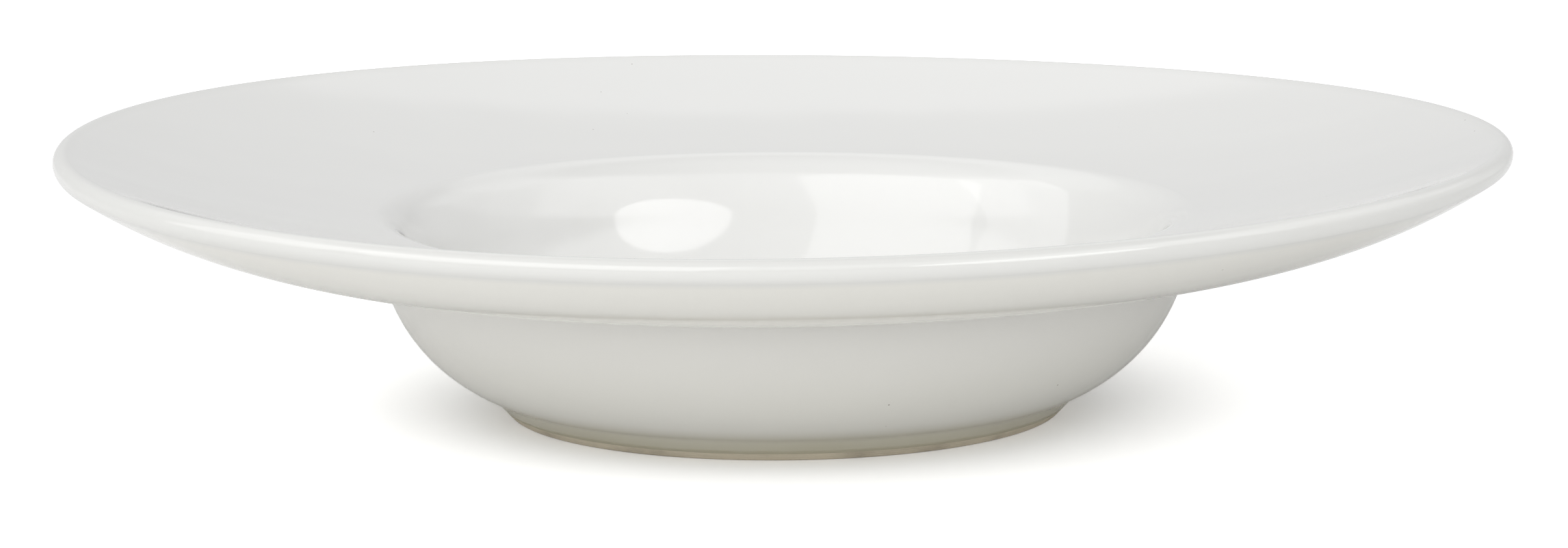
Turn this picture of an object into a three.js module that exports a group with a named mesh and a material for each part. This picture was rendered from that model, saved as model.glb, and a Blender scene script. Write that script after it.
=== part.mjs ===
// Deep plate: a wide dished rim with a heavy rounded edge, a round well and a foot ring.
// Millimetres, +Z up, origin on the table under the middle of the plate.
//
// The clay is one pressed and fired piece, turned here from one outline. Its glaze is two coats
// of glass fused to the clay, kept apart by the bare ring that the plate stands on.

import * as THREE from 'three';

// Overall
const RIM_DIAMETER = 290;
const PLATE_HEIGHT = 54.5;
const RIM_WIDTH = 64.2;

// Edge of the rim, rounded above and below its widest line
const LIP_TOP_RADIUS = 2.2;
const LIP_UNDER_RADIUS = 2.65;

// Upper face of the rim: a dish that falls more steeply at the lip than at the well, in degrees
const FACE_FALL_AT_LIP = 19;
const FACE_FALL_AT_WELL = 7;

// Underside of the rim: a thick round band along the edge, then a flatter cone, falls in degrees
const EDGE_BAND_WIDTH = 36.5;
const EDGE_BAND_FALL = 33.2;
const UNDERSIDE_FALL = 10.1;

// Well: thickness at its steepest line, the shoulder and the brow that round over from the rim to it,
// and the wall that hollows out from it to the corner of the floor, falls in degrees
const WELL_WALL = 8;
const WELL_SHOULDER_RADIUS = 8;
const WELL_FALL_AT_BROW = 61;
const WELL_BROW_RADIUS = 33.5;
const WELL_STEEPEST_FALL = 76;
const WELL_WALL_RADIUS = 62;
const WELL_FALL_AT_CORNER = 68;
const FLOOR_THICKNESS = 6;

// Outer side of the well: how far it still leans out at its top, in degrees, and the fillet under the rim
const WALL_LEAN = 12.3;
const RIM_FILLET = 2;

// Foot ring: how far the well stands out past it, its height, and the sloped sides of its seat
const WELL_OVERHANG = 21.3;
const FOOT_HEIGHT = 4.5;
const FOOT_FLANK_RUN = 4.3;
const SEAT_WIDTH = 4.5;
const RECESS_FLANK_RUN = 2.5;
const RECESS_DEPTH = 3.3;

// Glaze: its thickness, its fit on the clay, and the height below which the foot ring is wiped bare
const GLAZE_THICKNESS = 0.3;
const GLAZE_CLEARANCE = 0.05;
const BARE_HEIGHT = 1.5;

// Fineness of the turning, and of each round stretch of the outline
const TURN_STEPS = 56;
const FLAT_ARC_STEPS = 4;
const ROUND_ARC_STEPS = 6;
const SMALL_ARC_STEPS = 3;

const { degToRad, lerp } = THREE.MathUtils;

// Radii and heights that several stretches of the outline share
const rimRadius = RIM_DIAMETER / 2;
const edgeHeight = PLATE_HEIGHT - LIP_TOP_RADIUS;
const wellOuterRadius = rimRadius - RIM_WIDTH;
const wellInnerRadius = wellOuterRadius - WELL_WALL;
const floorHeight = RECESS_DEPTH + FLOOR_THICKNESS;
const footTopRadius = wellOuterRadius - WELL_OVERHANG;
const seatOuterRadius = footTopRadius - FOOT_FLANK_RUN;
const seatInnerRadius = seatOuterRadius - SEAT_WIDTH;
const recessRadius = seatInnerRadius - RECESS_FLANK_RUN;

/** A point of the outline: distance from the axis and height. */
function at(radius, height) {
  return new THREE.Vector2(radius, height);
}

/** Points of an elliptic arc about a centre, from one angle to another, in radians. */
function arc(centre, runRadius, riseRadius, from, to, steps) {
  const points = [];
  for (let i = 0; i <= steps; i += 1) {
    const angle = lerp(from, to, i / steps);
    points.push(at(centre.x + runRadius * Math.cos(angle), centre.y + riseRadius * Math.sin(angle)));
  }
  return points;
}

/**
 * Points of a shallow round stretch that starts at a point, runs a given width outwards or inwards,
 * and whose fall, in radians, changes evenly from one end to the other.
 */
function dish(start, run, startFall, endFall, steps) {
  const radius = run / (Math.sin(endFall) - Math.sin(startFall));
  const points = [];
  for (let i = 0; i <= steps; i += 1) {
    const fall = lerp(startFall, endFall, i / steps);
    const x = start.x + radius * (Math.sin(fall) - Math.sin(startFall));
    const y = start.y - radius * (Math.cos(fall) - Math.cos(startFall));
    points.push(at(x, y));
  }
  return points;
}

/** Joins stretches of outline and drops a point that repeats the one before it. */
function joined(...stretches) {
  const points = [];
  for (const point of stretches.flat()) {
    const last = points.at(-1);
    if (!last || last.distanceTo(point) > 1e-6) {
      points.push(point);
    }
  }
  return points;
}

/** Unit normal of a stretch from a to b, pointing out of the clay, which lies on its left. */
function outward(a, b) {
  const along = b.clone().sub(a).normalize();
  return at(along.y, -along.x);
}

/** The same outline moved into the clay by a depth, with its corners mitred. */
function sunk(points, depth) {
  return points.map((point, i) => {
    const before = i > 0 ? outward(points[i - 1], point) : outward(point, points[1]);
    const after = i < points.length - 1 ? outward(point, points[i + 1]) : before;
    const mitre = before.clone().add(after).divideScalar(1 + before.dot(after));
    return point.clone().addScaledVector(mitre, -depth);
  });
}

/** Closed solid turned about +Z from an outline that runs from the axis round to the axis. */
function turned(outline) {
  return new THREE.LatheGeometry(outline, TURN_STEPS).rotateX(Math.PI / 2);
}

/** Glazed surface inside the foot ring, from the axis out to the bare ring. */
function baseSurface() {
  const bareRadius = lerp(seatInnerRadius, recessRadius, BARE_HEIGHT / RECESS_DEPTH);
  return [at(0, RECESS_DEPTH), at(recessRadius, RECESS_DEPTH), at(bareRadius, BARE_HEIGHT)];
}

/** Bare seat of the foot ring, the flat face that the plate stands on. */
function seatSurface() {
  return [at(seatInnerRadius, 0), at(seatOuterRadius, 0)];
}

/** Glazed lower surface, from the bare ring up the foot and the well's wall and out to the lip. */
function lowerSurface() {
  const bandFall = degToRad(EDGE_BAND_FALL);
  const coneFall = degToRad(UNDERSIDE_FALL);
  const bareRadius = lerp(seatOuterRadius, footTopRadius, BARE_HEIGHT / FOOT_HEIGHT);

  const lipCentre = at(rimRadius - LIP_UNDER_RADIUS, edgeHeight);
  const lip = arc(lipCentre, LIP_UNDER_RADIUS, LIP_UNDER_RADIUS, bandFall - Math.PI / 2, 0, SMALL_ARC_STEPS);
  const band = dish(lip[0], -EDGE_BAND_WIDTH, bandFall, coneFall, ROUND_ARC_STEPS).reverse();

  // The cone under the rim runs in to a fillet that turns it down into the top of the well's wall.
  const lean = degToRad(WALL_LEAN);
  const filletRun = wellOuterRadius + RIM_FILLET * Math.cos(lean);
  const coneHeight = band[0].y - (band[0].x - filletRun) * Math.tan(coneFall);
  const filletCentre = at(filletRun, coneHeight - RIM_FILLET / Math.cos(coneFall));
  const filletEnd = Math.PI / 2 + coneFall;
  const fillet = arc(filletCentre, RIM_FILLET, RIM_FILLET, Math.PI - lean, filletEnd, SMALL_ARC_STEPS);

  // The wall is the arc that leaves the fillet with its lean and meets the top of the foot.
  const wallAcross = fillet[0].clone().sub(at(footTopRadius, FOOT_HEIGHT));
  const wallOutward = at(Math.cos(lean), -Math.sin(lean));
  const wallRadius = wallAcross.lengthSq() / (2 * wallAcross.dot(wallOutward));
  const wallCentre = fillet[0].clone().addScaledVector(wallOutward, -wallRadius);
  const wallStart = Math.atan2(FOOT_HEIGHT - wallCentre.y, footTopRadius - wallCentre.x);
  const wall = arc(wallCentre, wallRadius, wallRadius, wallStart, -lean, ROUND_ARC_STEPS);

  return joined([at(bareRadius, BARE_HEIGHT)], wall, fillet, band, lip);
}

/** Glazed upper surface, from the lip in over the rim's face and down the well to its floor. */
function upperSurface() {
  const lipFall = degToRad(FACE_FALL_AT_LIP);
  const wellFall = degToRad(FACE_FALL_AT_WELL);
  const browFall = degToRad(WELL_FALL_AT_BROW);
  const steepestFall = degToRad(WELL_STEEPEST_FALL);
  const cornerFall = degToRad(WELL_FALL_AT_CORNER);

  const lipCentre = at(rimRadius - LIP_TOP_RADIUS, edgeHeight);
  const lipTop = Math.PI / 2;
  const lip = joined(
    arc(lipCentre, LIP_TOP_RADIUS, LIP_TOP_RADIUS, 0, lipTop, SMALL_ARC_STEPS),
    arc(lipCentre, LIP_TOP_RADIUS, LIP_TOP_RADIUS, lipTop, lipTop + lipFall, 1),
  );

  const shoulderRun = WELL_SHOULDER_RADIUS * (Math.sin(browFall) - Math.sin(wellFall));
  const browRun = WELL_BROW_RADIUS * (Math.sin(steepestFall) - Math.sin(browFall));
  const faceEndRadius = wellInnerRadius + browRun + shoulderRun;
  const face = dish(lip.at(-1), faceEndRadius - lip.at(-1).x, lipFall, wellFall, FLAT_ARC_STEPS);
  const shoulder = dish(face.at(-1), -shoulderRun, wellFall, browFall, FLAT_ARC_STEPS);
  const brow = dish(shoulder.at(-1), -browRun, browFall, steepestFall, SMALL_ARC_STEPS);

  // The corner turns the foot of the wall to the flat floor in the height that is left.
  const wallRun = WELL_WALL_RADIUS * (Math.sin(steepestFall) - Math.sin(cornerFall));
  const wall = dish(brow.at(-1), -wallRun, steepestFall, cornerFall, SMALL_ARC_STEPS);
  const cornerRadius = (wall.at(-1).y - floorHeight) / (1 - Math.cos(cornerFall));
  const corner = dish(wall.at(-1), -cornerRadius * Math.sin(cornerFall), cornerFall, 0, ROUND_ARC_STEPS);

  return joined(lip, face, shoulder, brow, wall, corner, [at(0, floorHeight)]);
}

/** Fired clay, as it is under the glaze and at the bare ring. */
function clayMaterial() {
  return new THREE.MeshStandardMaterial({ color: '#e6e1d6', roughness: 0.85, metalness: 0 });
}

/** Clear white glaze, glossy all over. */
function whiteGlazeMaterial() {
  return new THREE.MeshStandardMaterial({ color: '#efeeea', roughness: 0.1, metalness: 0 });
}

/** The same glaze where it is pooled and a little warmer, inside the foot ring. */
function baseGlazeMaterial() {
  return new THREE.MeshStandardMaterial({ color: '#eae7df', roughness: 0.18, metalness: 0 });
}

/** A turned solid with its name and material. */
function piece(name, outline, material) {
  const mesh = new THREE.Mesh(turned(outline), material);
  mesh.name = name;
  return mesh;
}

const baseRun = baseSurface();
const outerRun = joined(lowerSurface(), upperSurface());

const clayDepth = GLAZE_THICKNESS + GLAZE_CLEARANCE;
const bareRing = [baseRun.at(-1), ...seatSurface(), outerRun[0]];
const clayOutline = joined(sunk(baseRun, clayDepth), bareRing, sunk(outerRun, clayDepth));
const outerGlazeOutline = joined(sunk(outerRun, GLAZE_THICKNESS).reverse(), outerRun);
const baseGlazeOutline = joined(baseRun, sunk(baseRun, GLAZE_THICKNESS).reverse());

const plate = new THREE.Group();
plate.name = 'deep_plate';
plate.add(
  piece('porcelain_body', clayOutline, clayMaterial()),
  piece('outer_glaze', outerGlazeOutline, whiteGlazeMaterial()),
  piece('base_glaze', baseGlazeOutline, baseGlazeMaterial()),
);

export default plate;
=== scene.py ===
"""Looks of a white porcelain deep plate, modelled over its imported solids, with the studio around it."""

import logging
import math
from collections.abc import Callable, Sequence
from dataclasses import dataclass, field
from enum import Enum

import bpy
from mathutils import Matrix, Vector


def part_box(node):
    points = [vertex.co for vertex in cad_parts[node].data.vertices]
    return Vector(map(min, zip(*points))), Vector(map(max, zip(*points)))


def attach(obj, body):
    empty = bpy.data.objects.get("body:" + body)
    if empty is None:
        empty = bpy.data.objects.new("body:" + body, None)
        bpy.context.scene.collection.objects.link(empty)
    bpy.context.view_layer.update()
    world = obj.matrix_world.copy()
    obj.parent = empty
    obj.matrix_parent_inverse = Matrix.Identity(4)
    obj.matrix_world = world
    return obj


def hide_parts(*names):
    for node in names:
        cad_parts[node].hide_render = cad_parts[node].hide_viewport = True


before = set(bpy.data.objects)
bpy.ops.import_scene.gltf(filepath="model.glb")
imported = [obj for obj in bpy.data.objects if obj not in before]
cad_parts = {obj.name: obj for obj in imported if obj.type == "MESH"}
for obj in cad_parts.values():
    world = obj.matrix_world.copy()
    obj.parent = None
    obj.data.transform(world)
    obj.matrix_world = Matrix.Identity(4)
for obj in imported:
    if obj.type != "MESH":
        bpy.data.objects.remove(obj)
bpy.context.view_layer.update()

LOG = logging.getLogger("deep_plate")

MM = 0.001
RUN_ATTRIBUTE = "outline_run"

# Stretches of a full turn, and of each part of the half outline
TURN_STEPS = 288
RECESS_STEPS = 8
FLANK_STEPS = 3
OUTER_WALL_STEPS = 24
FILLET_STEPS = 10
CONE_STEPS = 6
BAND_STEPS = 24
LIP_UNDER_STEPS = 9
LIP_TOP_STEPS = 15
FACE_STEPS = 24
SHOULDER_STEPS = 40
BROW_STEPS = 10
WELL_WALL_STEPS = 8
CORNER_STEPS = 16
FLOOR_STEPS = 9

# Distances in millimetres within which two points count as one
SAME_POINT = 1e-4
SAME_VERTEX = 0.001
SAME_RADIUS = 1e-3
SAME_RING = 0.02

SMOOTH_ANGLE = 50.0
SENSOR_WIDTH = 36.0
QUARTER_TURN = math.pi / 2

Colour = tuple[float, float, float]
Outline = list[Vector]
Step = tuple[float, float]


def tone(red: int, green: int, blue: int) -> Colour:
    """A colour given in display values from 0 to 255, in the linear values that shaders take.

    Args:
        red: Display value of red.
        green: Display value of green.
        blue: Display value of blue.

    Returns:
        The three linear values.
    """

    def linear(value: int) -> float:
        """One display value as a linear one."""
        share = value / 255
        return share / 12.92 if share <= 0.04045 else ((share + 0.055) / 1.055) ** 2.4

    return linear(red), linear(green), linear(blue)


def opaque(colour: Colour) -> tuple[float, float, float, float]:
    """The colour with full alpha, as colour sockets take it."""
    return (*colour, 1.0)


# Shader maths


class Wire:
    """A shader socket that takes part in Python expressions on values."""

    def __init__(self, bench: "Bench", socket: bpy.types.NodeSocket) -> None:
        """Keeps the socket and the bench that adds its nodes."""
        self.bench = bench
        self.socket = socket

    def _maths(self, operation: str, first: "Wire | float", second: "Wire | float") -> "Wire":
        """Adds a Math node.

        Args:
            operation: The node's operation.
            first: Its first value.
            second: Its second value.

        Returns:
            The node's result.
        """
        return self.bench.add("ShaderNodeMath", {"operation": operation}, {0: first, 1: second})

    def __add__(self, other: "Wire | float") -> "Wire":
        """Sum."""
        return self._maths("ADD", self, other)

    def __radd__(self, other: float) -> "Wire":
        """Sum with a number on the left."""
        return self._maths("ADD", other, self)

    def __sub__(self, other: "Wire | float") -> "Wire":
        """Difference."""
        return self._maths("SUBTRACT", self, other)

    def __rsub__(self, other: float) -> "Wire":
        """Difference from a number on the left."""
        return self._maths("SUBTRACT", other, self)

    def __mul__(self, other: "Wire | float") -> "Wire":
        """Product."""
        return self._maths("MULTIPLY", self, other)

    def __rmul__(self, other: float) -> "Wire":
        """Product with a number on the left."""
        return self._maths("MULTIPLY", other, self)

    def __gt__(self, other: "Wire | float") -> "Wire":
        """1 where this value is the greater one, else 0."""
        return self._maths("GREATER_THAN", self, other)

    def most(self, other: "Wire | float") -> "Wire":
        """The greater of two values."""
        return self._maths("MAXIMUM", self, other)

    def rise(self, low: float, high: float) -> "Wire":
        """A soft step from 0 at low to 1 at high.

        Args:
            low: Value at which the step starts.
            high: Value at which it ends; below low, the step falls instead.

        Returns:
            The step.
        """
        settings = {"interpolation_type": "SMOOTHSTEP"}
        if high >= low:
            return self.bench.add("ShaderNodeMapRange", settings, {0: self, 1: low, 2: high})
        return self.bench.add("ShaderNodeMapRange", settings, {0: self, 1: high, 2: low, 3: 1.0, 4: 0.0})


class Bench:
    """Adds and wires the nodes of one material or world."""

    def __init__(self, tree: bpy.types.NodeTree) -> None:
        """Starts from an empty tree."""
        self.tree = tree
        self.tree.nodes.clear()

    def add(
        self,
        kind: str,
        settings: dict[str, object] | None = None,
        sockets: dict[int | str, object] | None = None,
        result: int | str = 0,
    ) -> Wire:
        """Adds a node, sets it and wires it.

        Args:
            kind: The node's type.
            settings: Its properties, set before its sockets.
            sockets: Values or wires by socket name or number.
            result: Name or number of the output to hand back.

        Returns:
            That output, or a wire on nothing for a node that has no outputs.
        """
        node = self.tree.nodes.new(kind)
        for name, value in (settings or {}).items():
            setattr(node, name, value)
        for key, value in (sockets or {}).items():
            if isinstance(value, Wire):
                self.tree.links.new(value.socket, node.inputs[key])
            else:
                node.inputs[key].default_value = value
        return Wire(self, node.outputs[result] if len(node.outputs) else None)

    def place(self) -> Wire:
        """Object coordinates, in metres."""
        return self.add("ShaderNodeTexCoord", result="Object")

    def own(self, attribute: str) -> Wire:
        """A value that the mesh itself carries."""
        return self.add("ShaderNodeAttribute", {"attribute_name": attribute}, result="Fac")

    def noise(self, place: Wire, scale: float, detail: float = 2.0, rough: float = 0.5) -> Wire:
        """Cloudy values around one half.

        Args:
            place: Coordinates to read it at.
            scale: Clouds in a metre.
            detail: Octaves of finer clouds.
            rough: Weight of the finer clouds.

        Returns:
            The clouds, from 0 to 1.
        """
        sockets = {"Vector": place, "Scale": scale, "Detail": detail, "Roughness": rough}
        return self.add("ShaderNodeTexNoise", {}, sockets, "Fac")

    def blend(self, share: "Wire | float", first: "Wire | Colour", second: "Wire | Colour") -> Wire:
        """A colour between two.

        Args:
            share: 0 for the first colour, 1 for the second.
            first: Wire or linear colour.
            second: Wire or linear colour.

        Returns:
            The blended colour.
        """
        ends = [end if isinstance(end, Wire) else opaque(end) for end in (first, second)]
        settings = {"data_type": "RGBA", "clamp_factor": True}
        return self.add("ShaderNodeMix", settings, {0: share, 6: ends[0], 7: ends[1]}, 2)

    def bump(self, height: Wire, depth: float) -> Wire:
        """A normal that follows a height.

        Args:
            height: The height, in shares of the depth.
            depth: The depth, in metres.

        Returns:
            The normal.
        """
        return self.add("ShaderNodeBump", {}, {"Strength": 1.0, "Distance": depth, "Height": height})

    def show(self, shader: Wire, kind: str = "ShaderNodeOutputMaterial") -> None:
        """Hands the shader to the tree's output."""
        self.add(kind, {}, {0: shader})


def new_material(name: str) -> tuple[bpy.types.Material, Bench]:
    """A new node material with an empty tree.

    Args:
        name: The material's name.

    Returns:
        The material and the bench for its nodes.
    """
    material = bpy.data.materials.new(name)
    material.use_nodes = True
    return material, Bench(material.node_tree)


# Finishes


@dataclass(frozen=True)
class GlossGlaze:
    """Clear gloss glaze over white porcelain, warmer on the underside, and darker and warmer towards the
    foot, partly as pooled glaze and partly as painted shade.

    Places along the outline are shares of its length. The rim's edge, where the underside ends, is darkened
    with painted shade, and the corner under the rim is lightened with painted light. Patterns are counted in
    a metre, relief is in millimetres.
    """

    name: str
    white: Colour
    warm: Colour
    pooled_and_shaded: Colour
    edge_shade: Colour = tone(219, 219, 216)
    corner_light: Colour = tone(232, 231, 227)
    bare: Colour = tone(187, 182, 162)
    speck: Colour = tone(112, 98, 82)
    corner_at: float = -1.0
    under_until: float = 0.0
    pool_and_shade_until: float = 0.0
    bare_until: float = 0.0
    gloss: float = 0.075
    cloud_scale: float = 17.0
    sway_scale: float = 30.0
    peel_scale: float = 460.0
    ragged_scale: float = 210.0
    ragged_reach: float = 0.006
    relief: float = 0.25
    index: float = 1.52
    under_fade: Step = (0.004, -0.012)
    edge_rise: Step = (-0.02, -0.008)
    edge_fall: Step = (0.024, 0.0)
    corner_rise: Step = (-0.07, 0.0)
    corner_fall: Step = (0.02, 0.0)
    speck_scale: float = 150.0
    speck_step: Step = (0.034, 0.018)
    speck_above: float = 0.8

    def material(self) -> bpy.types.Material:
        """Builds the glaze's nodes.

        Returns:
            The finished material.
        """
        material, bench = new_material(self.name)
        place = bench.place()
        run = bench.own(RUN_ATTRIBUTE)

        cloud = bench.noise(place, self.cloud_scale, 3.0, 0.55)
        sway = bench.noise(place, self.sway_scale, 1.0)
        peel = bench.noise(place, self.peel_scale, 1.0)

        under = self.beside(run, self.under_until, self.under_fade)
        # Painted shade: the glaze darkens and warms towards the foot, partly pooled glaze and partly the
        # shade near the table.
        pool_and_shade = run.rise(self.pool_and_shade_until, 0.0)
        colour = bench.blend(under * (0.75 + 0.5 * cloud), self.white, self.warm)
        # Painted shade: the colour darkens on a band around the rim's edge, to tone down its brightness.
        edge = self.beside(run, self.under_until, self.edge_rise)
        edge = edge * self.beside(run, self.under_until, self.edge_fall)
        colour = bench.blend(edge, colour, self.edge_shade)
        # Painted light: the colour lightens in the corner under the rim, where the rim's shade falls.
        corner = self.beside(run, self.corner_at, self.corner_rise)
        corner = corner * self.beside(run, self.corner_at, self.corner_fall)
        colour = bench.blend(corner, colour, self.corner_light)
        colour = bench.blend(pool_and_shade * (0.7 + 0.6 * cloud), colour, self.pooled_and_shaded)

        ragged = run + self.ragged_reach * (bench.noise(place, self.ragged_scale, 3.0) - 0.5)
        wiped = ragged.rise(self.bare_until, self.bare_until * 0.55)
        colour = bench.blend(wiped, colour, self.bare)

        speck = self.specks(bench, place)
        colour = bench.blend(speck * 0.75, colour, self.speck)

        rough = self.gloss + 0.04 * (cloud - 0.5) + 0.1 * speck + 0.5 * wiped
        height = sway * (1.0 - 0.8 * under) + 0.006 * peel + 0.03 * speck
        normal = bench.bump(height, self.relief * MM)
        sockets = {"Base Color": colour, "Roughness": rough, "IOR": self.index, "Normal": normal}
        shader = bench.add("ShaderNodeBsdfPrincipled", {}, sockets)
        bench.show(shader)
        return material

    @staticmethod
    def beside(run: Wire, at: float, step: Step) -> Wire:
        """A soft step of the run, its two ends given as distances from one place of the outline."""
        return run.rise(at + step[0], at + step[1])

    def specks(self, bench: Bench, place: Wire) -> Wire:
        """Rare iron specks and pinholes in the glaze, a fifth of a millimetre across.

        Args:
            bench: The material's bench.
            place: Object coordinates.

        Returns:
            1 on a speck and 0 elsewhere.
        """
        sockets = {"Vector": place, "Scale": self.speck_scale}
        near = bench.add("ShaderNodeTexVoronoi", {}, sockets, "Distance")
        cell = bench.add("ShaderNodeTexVoronoi", {}, sockets, "Color")
        chance = bench.add("ShaderNodeSeparateColor", {}, {0: cell})
        return near.rise(*self.speck_step) * (chance > self.speck_above)


@dataclass(frozen=True)
class FiredClay:
    """Bare fired porcelain, matt, with fine grit and the marks of turning."""

    name: str
    colour: Colour = tone(214, 205, 186)
    grey: Colour = tone(150, 142, 126)
    grit_scale: float = 1900.0
    cloud_scale: float = 45.0
    turning_lines: float = 14000.0
    relief: float = 0.06

    def material(self) -> bpy.types.Material:
        """Builds the clay's nodes.

        Returns:
            The finished material.
        """
        material, bench = new_material(self.name)
        place = bench.place()
        grit = bench.noise(place, self.grit_scale, 3.0, 0.7)
        cloud = bench.noise(place, self.cloud_scale, 4.0, 0.6)

        flat = bench.add("ShaderNodeVectorMath", {"operation": "MULTIPLY"}, {0: place, 1: (1.0, 1.0, 0.0)})
        radius = bench.add("ShaderNodeVectorMath", {"operation": "LENGTH"}, {0: flat}, "Value")
        swept = self.turning_lines * radius + 5.0 * cloud
        lines = bench.add("ShaderNodeMath", {"operation": "SINE"}, {0: swept})

        rubbed = cloud.rise(0.42, 0.68)
        colour = bench.blend(0.55 * rubbed + 0.1 * grit, self.colour, self.grey)
        rough = 0.82 + 0.14 * (grit - 0.5) - 0.08 * rubbed
        height = 0.6 * grit + 0.2 * lines
        normal = bench.bump(height, self.relief * MM)
        sockets = {"Base Color": colour, "Roughness": rough, "Normal": normal}
        shader = bench.add("ShaderNodeBsdfPrincipled", {}, sockets)
        bench.show(shader)
        return material


# Outline


@dataclass(frozen=True)
class PlateForm:
    """Half outline of the plate: distances from its axis and heights over the table, in millimetres."""

    rim_radius: float
    height: float
    rim_width: float = 64.2
    lip_top_radius: float = 2.2
    lip_under_radius: float = 2.65
    face_fall_at_lip: float = 19.0
    face_fall_at_well: float = 7.0
    edge_band_width: float = 36.5
    edge_band_fall: float = 33.2
    underside_fall: float = 10.1
    well_wall: float = 8.0
    shoulder_radius: float = 8.0
    well_fall_at_brow: float = 61.0
    brow_radius: float = 33.5
    well_steepest_fall: float = 76.0
    wall_radius: float = 62.0
    well_fall_at_corner: float = 68.0
    floor_thickness: float = 6.0
    wall_lean: float = 12.3
    rim_fillet: float = 2.0
    well_overhang: float = 21.3
    foot_height: float = 4.5
    foot_flank_run: float = 4.3
    seat_width: float = 4.5
    recess_flank_run: float = 2.5
    recess_depth: float = 3.3
    bare_height: float = 1.5

    @classmethod
    def from_frame(cls) -> "PlateForm":
        """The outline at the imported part's own width and height."""
        low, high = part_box("outer_glaze")
        return cls(rim_radius=(high.x - low.x) / 2 / MM, height=high.z / MM)

    @property
    def edge_height(self) -> float:
        """Height of the rim's widest line."""
        return self.height - self.lip_top_radius

    @property
    def well_radius(self) -> float:
        """Outer radius of the well's wall under the rim."""
        return self.rim_radius - self.rim_width

    @property
    def foot_radius(self) -> float:
        """Radius of the crease where the wall meets the foot."""
        return self.well_radius - self.well_overhang

    @property
    def seat_radius(self) -> float:
        """Outer radius of the seat."""
        return self.foot_radius - self.foot_flank_run

    @property
    def seat_hole(self) -> float:
        """Inner radius of the seat."""
        return self.seat_radius - self.seat_width

    @property
    def recess_radius(self) -> float:
        """Radius of the recess inside the foot."""
        return self.seat_hole - self.recess_flank_run

    @staticmethod
    def arc(centre: Vector, radius: float, start: float, end: float, steps: int) -> Outline:
        """Points of an arc about a centre.

        Args:
            centre: The arc's centre.
            radius: Its radius.
            start: Angle of its first point, in radians.
            end: Angle of its last point.
            steps: Number of its stretches.

        Returns:
            Its points.
        """
        angles = [start + (end - start) * step / steps for step in range(steps + 1)]
        return [centre + radius * Vector((math.cos(angle), math.sin(angle))) for angle in angles]

    @staticmethod
    def dish(start: Vector, run: float, start_fall: float, end_fall: float, steps: int) -> Outline:
        """Points of a round stretch whose fall changes evenly from one end to the other.

        Args:
            start: Its first point.
            run: Its width, negative towards the axis.
            start_fall: Its fall at the first point, in radians.
            end_fall: Its fall at the last point.
            steps: Number of its stretches.

        Returns:
            Its points.
        """
        radius = run / (math.sin(end_fall) - math.sin(start_fall))
        points = []
        for step in range(steps + 1):
            fall = start_fall + (end_fall - start_fall) * step / steps
            along = radius * (math.sin(fall) - math.sin(start_fall))
            down = radius * (math.cos(fall) - math.cos(start_fall))
            points.append(start + Vector((along, -down)))
        return points

    @staticmethod
    def straight(start: Vector, end: Vector, steps: int) -> Outline:
        """Points of a straight stretch, both ends among them."""
        return [start.lerp(end, step / steps) for step in range(steps + 1)]

    @staticmethod
    def joined(*stretches: Outline) -> Outline:
        """Joins stretches and drops points that repeat the one before.

        Args:
            *stretches: Stretches of the outline, in order.

        Returns:
            One outline.
        """
        points: Outline = []
        for point in (point for stretch in stretches for point in stretch):
            if not points or (points[-1] - point).length > SAME_POINT:
                points.append(point)
        return points

    @staticmethod
    def sunk(points: Outline, depth: float) -> Outline:
        """The outline moved into the clay, which lies on its left, with mitred corners.

        Args:
            points: The outline.
            depth: How deep it is moved.

        Returns:
            The moved outline.
        """

        def outward(first: Vector, second: Vector) -> Vector:
            """Unit normal of a stretch, out of the clay."""
            along = (second - first).normalized()
            return Vector((along.y, -along.x))

        moved = []
        for index, point in enumerate(points):
            before = outward(points[max(index - 1, 0)], points[max(index, 1)])
            after = outward(point, points[index + 1]) if index + 1 < len(points) else before
            mitre = (before + after) / (1 + before.dot(after))
            moved.append(point - depth * mitre)
        return moved

    @staticmethod
    def thinned(points: Outline, every: int) -> Outline:
        """Both ends of an outline that is out of sight, and every second, third or later point between."""
        return [points[0], *points[every:-1:every], points[-1]]

    def base(self) -> Outline:
        """Glazed surface inside the foot.

        Returns:
            Its points, from the axis to the bare ring.
        """
        share = self.bare_height / self.recess_depth
        corner = Vector((self.recess_radius, self.recess_depth))
        edge = Vector((self.seat_hole, 0.0)).lerp(corner, share)
        return self.joined(self.straight(Vector((0.0, self.recess_depth)), corner, RECESS_STEPS), [edge])

    def seat(self) -> Outline:
        """Bare seat of the foot."""
        return [Vector((self.seat_hole, 0.0)), Vector((self.seat_radius, 0.0))]

    def lower(self) -> Outline:
        """Glazed surface of the foot, the well's outer wall and the rim's underside.

        Returns:
            Its points, from the bare ring to the rim's widest line.
        """
        band_fall = math.radians(self.edge_band_fall)
        cone_fall = math.radians(self.underside_fall)

        lip_centre = Vector((self.rim_radius - self.lip_under_radius, self.edge_height))
        lip = self.arc(lip_centre, self.lip_under_radius, band_fall - QUARTER_TURN, 0.0, LIP_UNDER_STEPS)
        band = self.dish(lip[0], -self.edge_band_width, band_fall, cone_fall, BAND_STEPS)[::-1]

        lean = math.radians(self.wall_lean)
        fillet_run = self.well_radius + self.rim_fillet * math.cos(lean)
        cone_height = band[0].y - (band[0].x - fillet_run) * math.tan(cone_fall)
        fillet_centre = Vector((fillet_run, cone_height - self.rim_fillet / math.cos(cone_fall)))
        fillet_end = QUARTER_TURN + cone_fall
        fillet = self.arc(fillet_centre, self.rim_fillet, math.pi - lean, fillet_end, FILLET_STEPS)
        cone = self.straight(fillet[-1], band[0], CONE_STEPS)

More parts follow.
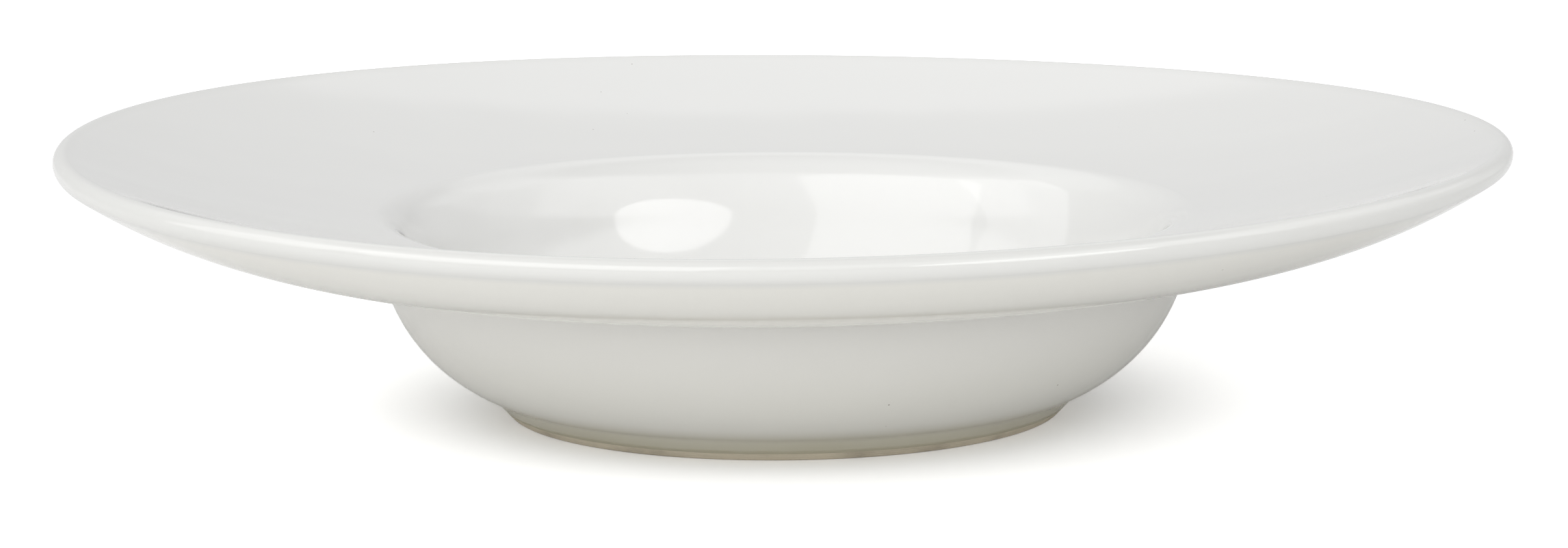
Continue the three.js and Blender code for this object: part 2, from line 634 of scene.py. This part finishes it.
        crease = Vector((self.foot_radius, self.foot_height))
        across = fillet[0] - crease
        outward = Vector((math.cos(lean), -math.sin(lean)))
        radius = across.length_squared / (2 * across.dot(outward))
        centre = fillet[0] - radius * outward
        start = math.atan2(crease.y - centre.y, crease.x - centre.x)
        wall = self.arc(centre, radius, start, -lean, OUTER_WALL_STEPS)

        edge = Vector((self.seat_radius, 0.0)).lerp(crease, self.bare_height / self.foot_height)
        return self.joined(self.straight(edge, crease, FLANK_STEPS), wall, fillet, cone, band, lip)

    def wall_top(self) -> Vector:
        """The highest place of the well's outer wall, in the corner under the rim."""
        wall = [point for point in self.lower() if point.x < self.well_radius + SAME_RADIUS]
        return max(wall, key=lambda point: point.y)

    def upper(self) -> Outline:
        """Glazed surface of the rim's face and the well.

        Returns:
            Its points, from the rim's widest line to the axis.
        """
        lip_fall = math.radians(self.face_fall_at_lip)
        well_fall = math.radians(self.face_fall_at_well)
        brow_fall = math.radians(self.well_fall_at_brow)
        steepest_fall = math.radians(self.well_steepest_fall)
        corner_fall = math.radians(self.well_fall_at_corner)
        floor_height = self.recess_depth + self.floor_thickness

        lip_centre = Vector((self.rim_radius - self.lip_top_radius, self.edge_height))
        lip = self.arc(lip_centre, self.lip_top_radius, 0.0, QUARTER_TURN + lip_fall, LIP_TOP_STEPS)

        shoulder_run = self.shoulder_radius * (math.sin(brow_fall) - math.sin(well_fall))
        brow_run = self.brow_radius * (math.sin(steepest_fall) - math.sin(brow_fall))
        face_end = self.well_radius - self.well_wall + brow_run + shoulder_run
        face = self.dish(lip[-1], face_end - lip[-1].x, lip_fall, well_fall, FACE_STEPS)
        shoulder = self.dish(face[-1], -shoulder_run, well_fall, brow_fall, SHOULDER_STEPS)
        brow = self.dish(shoulder[-1], -brow_run, brow_fall, steepest_fall, BROW_STEPS)

        wall_run = self.wall_radius * (math.sin(steepest_fall) - math.sin(corner_fall))
        wall = self.dish(brow[-1], -wall_run, steepest_fall, corner_fall, WELL_WALL_STEPS)
        corner_radius = (wall[-1].y - floor_height) / (1 - math.cos(corner_fall))
        corner_run = corner_radius * math.sin(corner_fall)
        corner = self.dish(wall[-1], -corner_run, corner_fall, 0.0, CORNER_STEPS)
        floor = self.straight(corner[-1], Vector((0.0, floor_height)), FLOOR_STEPS)
        return self.joined(lip, face, shoulder, brow, wall, corner, floor)

    def outer(self) -> Outline:
        """The whole outer glazed surface, from the bare ring to the middle of the floor."""
        return self.joined(self.lower(), self.upper())

    def run_of(self, surface: Outline, radius: float, height: float) -> float:
        """How far along a surface the point nearest to a place lies.

        Args:
            surface: Points of the surface.
            radius: Distance of the place from the axis.
            height: Its height.

        Returns:
            The share of the surface's length, from 0 to 1.
        """
        place = Vector((radius, height))
        best, nearest, length = 0.0, math.inf, 0.0
        for first, second in zip(surface, surface[1:]):
            along = second - first
            share = min(max((place - first).dot(along) / along.length_squared, 0.0), 1.0)
            gap = (place - first - share * along).length
            if gap < nearest:
                nearest, best = gap, length + share * along.length
            length += along.length
        return best / length


# Modelling


def alone(obj: bpy.types.Object) -> None:
    """Makes one object the only selected and the active one.

    Args:
        obj: The object.
    """
    bpy.ops.object.select_all(action="DESELECT")
    obj.select_set(True)
    bpy.context.view_layer.objects.active = obj


def turned(name: str, outline: Outline) -> bpy.types.Object:
    """Draws a half outline point by point and spins it about the plate's axis.

    Args:
        name: Name of the new piece.
        outline: The half outline, in millimetres, with both ends on the axis.

    Returns:
        The closed piece.
    """
    bpy.ops.object.select_all(action="DESELECT")
    first = outline[0] * MM
    bpy.ops.mesh.primitive_plane_add(size=1 * MM, location=(first.x, 0.0, first.y))
    obj = bpy.context.object
    obj.name = obj.data.name = name
    bpy.ops.object.transform_apply(location=True, rotation=True, scale=True)
    bpy.ops.object.mode_set(mode="EDIT")
    bpy.ops.mesh.select_mode(type="VERT")
    bpy.ops.mesh.select_all(action="SELECT")
    bpy.ops.mesh.merge(type="CENTER")
    for start, end in zip(outline, outline[1:]):
        step = (end - start) * MM
        bpy.ops.mesh.extrude_vertices_move(TRANSFORM_OT_translate={"value": (step.x, 0.0, step.y)})
    bpy.ops.mesh.select_all(action="SELECT")
    bpy.ops.mesh.spin(steps=TURN_STEPS, angle=2 * math.pi, center=(0.0, 0.0, 0.0), axis=(0.0, 0.0, 1.0))
    bpy.ops.mesh.select_all(action="SELECT")
    bpy.ops.mesh.remove_doubles(threshold=SAME_VERTEX * MM)
    bpy.ops.mesh.normals_make_consistent(inside=False)
    bpy.ops.object.mode_set(mode="OBJECT")
    return obj


def round_off(obj: bpy.types.Object, place: Vector, offset: float, segments: int) -> None:
    """Rounds the ring of edges that lies at one place of the outline.

    Args:
        obj: The turned piece.
        place: The ring's radius and height, in millimetres.
        offset: How far the rounding reaches, in millimetres.
        segments: Number of its stretches.
    """
    alone(obj)
    mesh = obj.data
    spot = place * MM
    on_ring = []
    for vertex in mesh.vertices:
        here = Vector((math.hypot(vertex.co.x, vertex.co.y), vertex.co.z))
        on_ring.append((here - spot).length < SAME_RING * MM)
    bpy.ops.object.mode_set(mode="EDIT")
    bpy.ops.mesh.select_mode(type="EDGE")
    bpy.ops.mesh.select_all(action="DESELECT")
    bpy.ops.object.mode_set(mode="OBJECT")
    for edge in mesh.edges:
        edge.select = all(on_ring[index] for index in edge.vertices)
    bpy.ops.object.mode_set(mode="EDIT")
    bpy.ops.mesh.bevel(offset=offset * MM, segments=segments, affect="EDGES")
    bpy.ops.object.mode_set(mode="OBJECT")


@dataclass(frozen=True)
class FiringWarp:
    """The slight lie that firing gave the rim, in millimetres at its edge; the foot stays flat."""

    saddle: float = 1.0
    lean: float = -0.6
    twist: float = -1.5
    radius: float = 145.0
    still_below: float = 6.0
    full_above: float = 44.0
    cage_size: tuple[float, float, float] = (460.0, 460.0, 120.0)
    cage_middle: float = 27.0
    cage_points: tuple[int, int, int] = (11, 11, 9)

    def lift(self, place: Vector) -> float:
        """How far a place of the rim is lifted.

        Args:
            place: The place, in metres.

        Returns:
            The lift, in metres.
        """
        x, y, z = (value / MM for value in place)
        share = min(max((z - self.still_below) / (self.full_above - self.still_below), 0.0), 1.0)
        across, along = x / self.radius, y / self.radius
        lift = self.saddle * (across**2 - along**2) + self.lean * across + self.twist * across * along
        return lift * share * MM

    def apply(self, obj: bpy.types.Object) -> None:
        """Warps a piece with a cage of points around the plate.

        Args:
            obj: The piece.
        """
        bpy.ops.object.select_all(action="DESELECT")
        size = Vector(self.cage_size) * MM
        bpy.ops.object.add(type="LATTICE", location=(0.0, 0.0, self.cage_middle * MM))
        cage = bpy.context.object
        cage.scale = size
        cage.data.points_u, cage.data.points_v, cage.data.points_w = self.cage_points
        bpy.context.view_layer.update()
        for point in cage.data.points:
            point.co_deform.z = point.co.z + self.lift(cage.matrix_world @ point.co) / size.z
        alone(obj)
        modifier = obj.modifiers.new("firing_warp", "LATTICE")
        modifier.object = cage
        bpy.ops.object.modifier_apply(modifier=modifier.name)
        bpy.data.objects.remove(cage)


# Pieces


@dataclass
class TurnedPiece:
    """What the plate's three pieces share."""

    form: PlateForm
    warp: FiringWarp
    glaze_thickness: float = 0.3
    glaze_fit: float = 0.05

    def finished(
        self, obj: bpy.types.Object, node: str, slot: str, surface: Outline, material: bpy.types.Material
    ) -> bpy.types.Object:
        """Marks, smooths, warps and dresses a turned piece and sets it in the frame.

        Args:
            obj: The turned piece.
            node: The solid that it stands for.
            slot: Not used.
            surface: The outline that its marks run along.
            material: Its finish.

        Returns:
            The same piece.
        """
        mesh = obj.data
        runs: dict[tuple[int, int], float] = {}
        marks = mesh.attributes.new(RUN_ATTRIBUTE, "FLOAT", "POINT")
        for vertex, mark in zip(mesh.vertices, marks.data):
            radius, height = math.hypot(vertex.co.x, vertex.co.y) / MM, vertex.co.z / MM
            key = (round(radius * 1000), round(height * 1000))
            if key not in runs:
                runs[key] = self.form.run_of(surface, radius, height)
            mark.value = runs[key]
        alone(obj)
        bpy.ops.object.shade_smooth_by_angle(angle=math.radians(SMOOTH_ANGLE))
        self.warp.apply(obj)
        mesh.materials.clear()
        mesh.materials.append(material)
        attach(obj, "root")
        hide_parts(node)
        LOG.info("%s: %d vertices, %d faces", obj.name, len(mesh.vertices), len(mesh.polygons))
        return obj


@dataclass
class ClayBody(TurnedPiece):
    """The fired clay, which shows at the bare seat of the foot."""

    edge_wear: float = 0.45
    wear_segments: int = 4

    def build(self) -> bpy.types.Object:
        """Turns the clay, rounds its seat and dresses it.

        Returns:
            The finished piece.
        """
        form = self.form
        depth = self.glaze_thickness + self.glaze_fit
        base, outer = form.base(), form.outer()
        ring = [base[-1], *form.seat(), outer[0]]
        under = form.sunk(base, depth)
        over = form.sunk(outer, depth)
        obj = turned("clay_body", form.joined(under, ring, form.thinned(over, 2)))
        for place in form.seat():
            round_off(obj, place, self.edge_wear, self.wear_segments)
        clay = FiredClay("fired_clay").material()
        return self.finished(obj, "porcelain_body", "fired_clay", outer, clay)


@dataclass
class OuterGlaze(TurnedPiece):
    """The coat of glaze from the bare ring round over the rim and down to the middle of the well."""

    crease_round: float = 0.7
    crease_segments: int = 5
    edge_round: float = 0.12
    edge_segments: int = 3
    pool_and_shade_reach: float = 3.0
    bare_reach: float = 0.3

    def build(self) -> bpy.types.Object:
        """Turns the coat, softens the foot's crease and the coat's own edge, and dresses it.

        Returns:
            The finished piece.
        """
        form = self.form
        outer = form.outer()
        under = form.sunk(outer, self.glaze_thickness)
        obj = turned("outer_glaze_coat", form.joined(form.thinned(under, 3)[::-1], outer))
        foot_top = Vector((form.foot_radius, form.foot_height))
        round_off(obj, foot_top, self.crease_round, self.crease_segments)
        round_off(obj, outer[0], self.edge_round, self.edge_segments)
        lip = form.run_of(outer, form.rim_radius, form.edge_height)
        crease = form.run_of(outer, form.foot_radius, form.foot_height)
        glaze = GlossGlaze(
            "white_glaze",
            white=tone(229, 229, 227),
            warm=tone(230, 229, 223),
            # The pooled colour is partly pooled glaze and partly painted shade near the table.
            pooled_and_shaded=tone(196, 192, 174),
            corner_at=form.run_of(outer, *form.wall_top()),
            under_until=lip,
            pool_and_shade_until=crease * self.pool_and_shade_reach,
            bare_until=crease * self.bare_reach,
        )
        return self.finished(obj, "outer_glaze", "white_glaze", outer, glaze.material())


@dataclass
class FootGlaze(TurnedPiece):
    """The coat of glaze inside the foot ring."""

    corner_round: float = 0.8
    corner_segments: int = 4

    def build(self) -> bpy.types.Object:
        """Turns the coat, softens its corner and dresses it.

        Returns:
            The finished piece.
        """
        form = self.form
        base = form.base()
        under = form.sunk(base, self.glaze_thickness)
        obj = turned("foot_glaze_coat", form.joined(base, under[::-1]))
        corner = Vector((form.recess_radius, form.recess_depth))
        round_off(obj, corner, self.corner_round, self.corner_segments)
        glaze = GlossGlaze(
            "base_glaze",
            white=tone(236, 234, 228),
            warm=tone(232, 228, 217),
            # The pooled colour darkens the corner of the recess: partly pooled glaze, partly painted shade.
            pooled_and_shaded=tone(218, 211, 193),
            under_until=1.1,
            pool_and_shade_until=0.22,
            bare_until=0.02,
            gloss=0.12,
        )
        return self.finished(obj, "base_glaze", "base_glaze", base[::-1], glaze.material())


# Studio


class LampShape(Enum):
    """Outline of a lamp's face."""

    OBLONG = "RECTANGLE"
    ROUND = "ELLIPSE"


@dataclass(frozen=True)
class Softbox:
    """A soft lamp that faces the plate; angles in degrees from the camera's side, sizes in metres."""

    name: str
    azimuth: float
    elevation: float
    distance: float
    width: float
    height: float
    radiance: float
    aside: float = 0.0
    shape: LampShape = LampShape.OBLONG
    aim_height: float = 0.03

    def build(self) -> bpy.types.Object:
        """Hangs the lamp.

        Returns:
            The lamp's object.
        """
        side, up = math.radians(self.azimuth), math.radians(self.elevation)
        aim = Vector((0.0, 0.0, self.aim_height))
        out = Vector((math.sin(side) * math.cos(up), -math.cos(side) * math.cos(up), math.sin(up)))
        across = Vector((math.cos(side), math.sin(side), 0.0))
        bpy.ops.object.light_add(type="AREA", location=aim + self.distance * out + self.aside * across)
        lamp = bpy.context.object
        lamp.name = self.name
        lamp.rotation_euler = out.to_track_quat("Z", "Y").to_euler()
        lamp.data.shape = self.shape.value
        lamp.data.size, lamp.data.size_y = self.width, self.height
        lamp.data.energy = self.radiance * math.pi * self.width * self.height
        lamp.visible_camera = False
        return lamp


@dataclass
class Studio:
    """White table, soft lamps, room and camera.

    Lengths are in metres. A step is the pair of values between which something changes: a distance from the
    plate's axis, or a part of a direction that has a length of 1.
    """

    floor_size: float = 8.0
    floor_colour: Colour = (0.97, 0.97, 0.97)
    floor_glow_near: float = 0.21
    floor_glow_far: float = 0.6
    glow_step: Step = (0.052, 0.105)
    sky: float = 0.4
    sky_overhead: float = 0.7
    sky_low_in_front: float = 0.85
    sky_lost_at_right: float = 0.3
    gloss_behind: float = 0.74
    gloss_high_behind: float = 0.96
    gloss_low_in_front: float = 0.5
    gloss_in_front: float = 1.4
    gloss_at_right: float = 0.8
    gloss_overhead: float = 0.15
    above_step: Step = (0.27, 0.35)
    overhead_step: Step = (0.72, 0.87)
    front_step: Step = (-0.75, -0.6)
    right_step: Step = (0.2, 0.8)
    behind_step: Step = (-0.05, 0.05)
    high_behind_step: Step = (0.503, 0.545)
    gloss_right_step: Step = (0.35, 0.7)
    camera_distance: float = 1.1005
    camera_elevation: float = 0.1891
    camera_pitch: float = 0.1648
    camera_roll: float = 0.55
    image_width: float = 2412.0
    focal_pixels: float = 8388.75
    softboxes: list[Softbox] = field(
        default_factory=lambda: [
            Softbox("key_softbox", -27.3, 30.43, 3.73, 3.827, 2.822, 1.5, -0.8963),
            Softbox("right_softbox", 40.0, 19.66, 3.725, 2.592, 1.512, 2.3, -0.1136, LampShape.ROUND),
            Softbox("left_card", -90.0, 27.0, 3.7, 2.33, 2.7, 1.1),
            Softbox("right_card", 95.0, 30.0, 3.7, 2.5, 2.5, 0.2),
        ]
    )

    def build(self) -> None:
        """Sets up everything around the plate."""
        self.floor()
        self.world()
        for softbox in self.softboxes:
            softbox.build()
        self.camera()
        bpy.context.scene.view_settings.view_transform = "Standard"

    @staticmethod
    def seen(bench: Bench) -> Wire:
        """Where the camera sees a surface, straight or in gloss or glass.

        Args:
            bench: The bench of its nodes.

        Returns:
            1 where the camera sees it, and 0 elsewhere.
        """
        straight = bench.add("ShaderNodeLightPath", result="Is Camera Ray")
        gloss = bench.add("ShaderNodeLightPath", result="Is Glossy Ray")
        glass = bench.add("ShaderNodeLightPath", result="Is Transmission Ray")
        return straight.most(gloss).most(glass)

    def floor(self) -> None:
        """Lays the white table top, which glows for the camera and is plain cloth in gloss."""
        bpy.ops.object.select_all(action="DESELECT")
        bpy.ops.mesh.primitive_plane_add(size=self.floor_size, location=(0.0, 0.0, 0.0))
        top = bpy.context.object
        top.name = "table_top"
        material, bench = new_material("white_table")
        cloth = bench.add("ShaderNodeBsdfDiffuse", {}, {"Color": opaque(self.floor_colour)})
        away = bench.add("ShaderNodeVectorMath", {"operation": "LENGTH"}, {0: bench.place()}, "Value")
        # Painted shadow: the glow is weaker near the plate, which darkens the table around the foot beyond
        # its cast shadow.
        rise = (self.floor_glow_far - self.floor_glow_near) * away.rise(*self.glow_step)
        glow = bench.add("ShaderNodeEmission", {}, {"Strength": self.floor_glow_near + rise})
        both = bench.add("ShaderNodeAddShader", {}, {0: cloth, 1: glow})
        shown = bench.add("ShaderNodeMixShader", {}, {0: self.seen(bench), 1: cloth, 2: both})
        gloss = bench.add("ShaderNodeLightPath", result="Is Glossy Ray")
        bench.show(bench.add("ShaderNodeMixShader", {}, {0: gloss, 1: shown, 2: cloth}))
        top.data.materials.append(material)

    def world(self) -> None:
        """Fills the room with soft light by direction, with other strengths for what the glaze mirrors."""
        world = bpy.data.worlds.new("studio")
        world.use_nodes = True
        bpy.context.scene.world = world
        bench = Bench(world.node_tree)
        towards = bench.add("ShaderNodeTexCoord", result="Generated")
        depth = bench.add("ShaderNodeSeparateXYZ", {}, {0: towards}, "Y")
        height = bench.add("ShaderNodeSeparateXYZ", {}, {0: towards}, "Z")
        above = height.rise(*self.above_step)
        overhead = height.rise(*self.overhead_step)
        low_in_front = (1.0 - above) * (1.0 - depth.rise(*self.front_step))
        aside = bench.add("ShaderNodeSeparateXYZ", {}, {0: towards}, "X")
        room = self.sky + self.sky_low_in_front * low_in_front + self.sky_overhead * overhead
        room = room - self.sky_lost_at_right * aside.rise(*self.right_step) * (1.0 - above)

        high_behind = height.rise(*self.high_behind_step)
        behind = self.gloss_behind + (self.gloss_high_behind - self.gloss_behind) * high_behind
        in_front = self.gloss_low_in_front + (self.gloss_in_front - self.gloss_low_in_front) * above
        at_right = self.gloss_at_right * aside.rise(*self.gloss_right_step) * (0.5 + 0.5 * above)
        around = in_front + (behind - in_front) * depth.rise(*self.behind_step) + at_right
        around = around + (self.gloss_overhead - around) * overhead
        gloss = bench.add("ShaderNodeLightPath", result="Is Glossy Ray")
        shown = 1.0 + (around - 1.0) * gloss
        strength = room + (shown - room) * self.seen(bench)
        sky = bench.add("ShaderNodeBackground", {}, {"Color": opaque((1.0, 1.0, 1.0)), "Strength": strength})
        bench.show(sky, "ShaderNodeOutputWorld")

    def camera(self) -> None:
        """Sets the camera where the photograph was taken from."""
        up = self.camera_elevation
        place = self.camera_distance * Vector((0.0, -math.cos(up), math.sin(up)))
        bpy.ops.object.camera_add(location=place)
        camera = bpy.context.object
        camera.name = "photo_camera"
        level = Matrix.Rotation(QUARTER_TURN - self.camera_pitch, 4, "X")
        tilt = Matrix.Rotation(-math.radians(self.camera_roll), 4, "Z")
        camera.rotation_euler = (level @ tilt).to_euler()
        camera.data.sensor_fit = "HORIZONTAL"
        camera.data.sensor_width = SENSOR_WIDTH
        camera.data.lens = SENSOR_WIDTH * self.focal_pixels / self.image_width
        camera.data.clip_start = 0.01
        bpy.context.scene.camera = camera


def main() -> None:
    """Builds the plate's pieces in order, then the studio."""
    logging.basicConfig(level=logging.INFO, format="%(message)s")
    form = PlateForm.from_frame()
    warp = FiringWarp(radius=form.rim_radius)
    builders: Sequence[Callable[[], bpy.types.Object]] = (
        ClayBody(form, warp).build,
        OuterGlaze(form, warp).build,
        FootGlaze(form, warp).build,
    )
    for build in builders:
        LOG.info("finished %s", build().name)
    Studio().build()


if __name__ == "__main__":
    main()
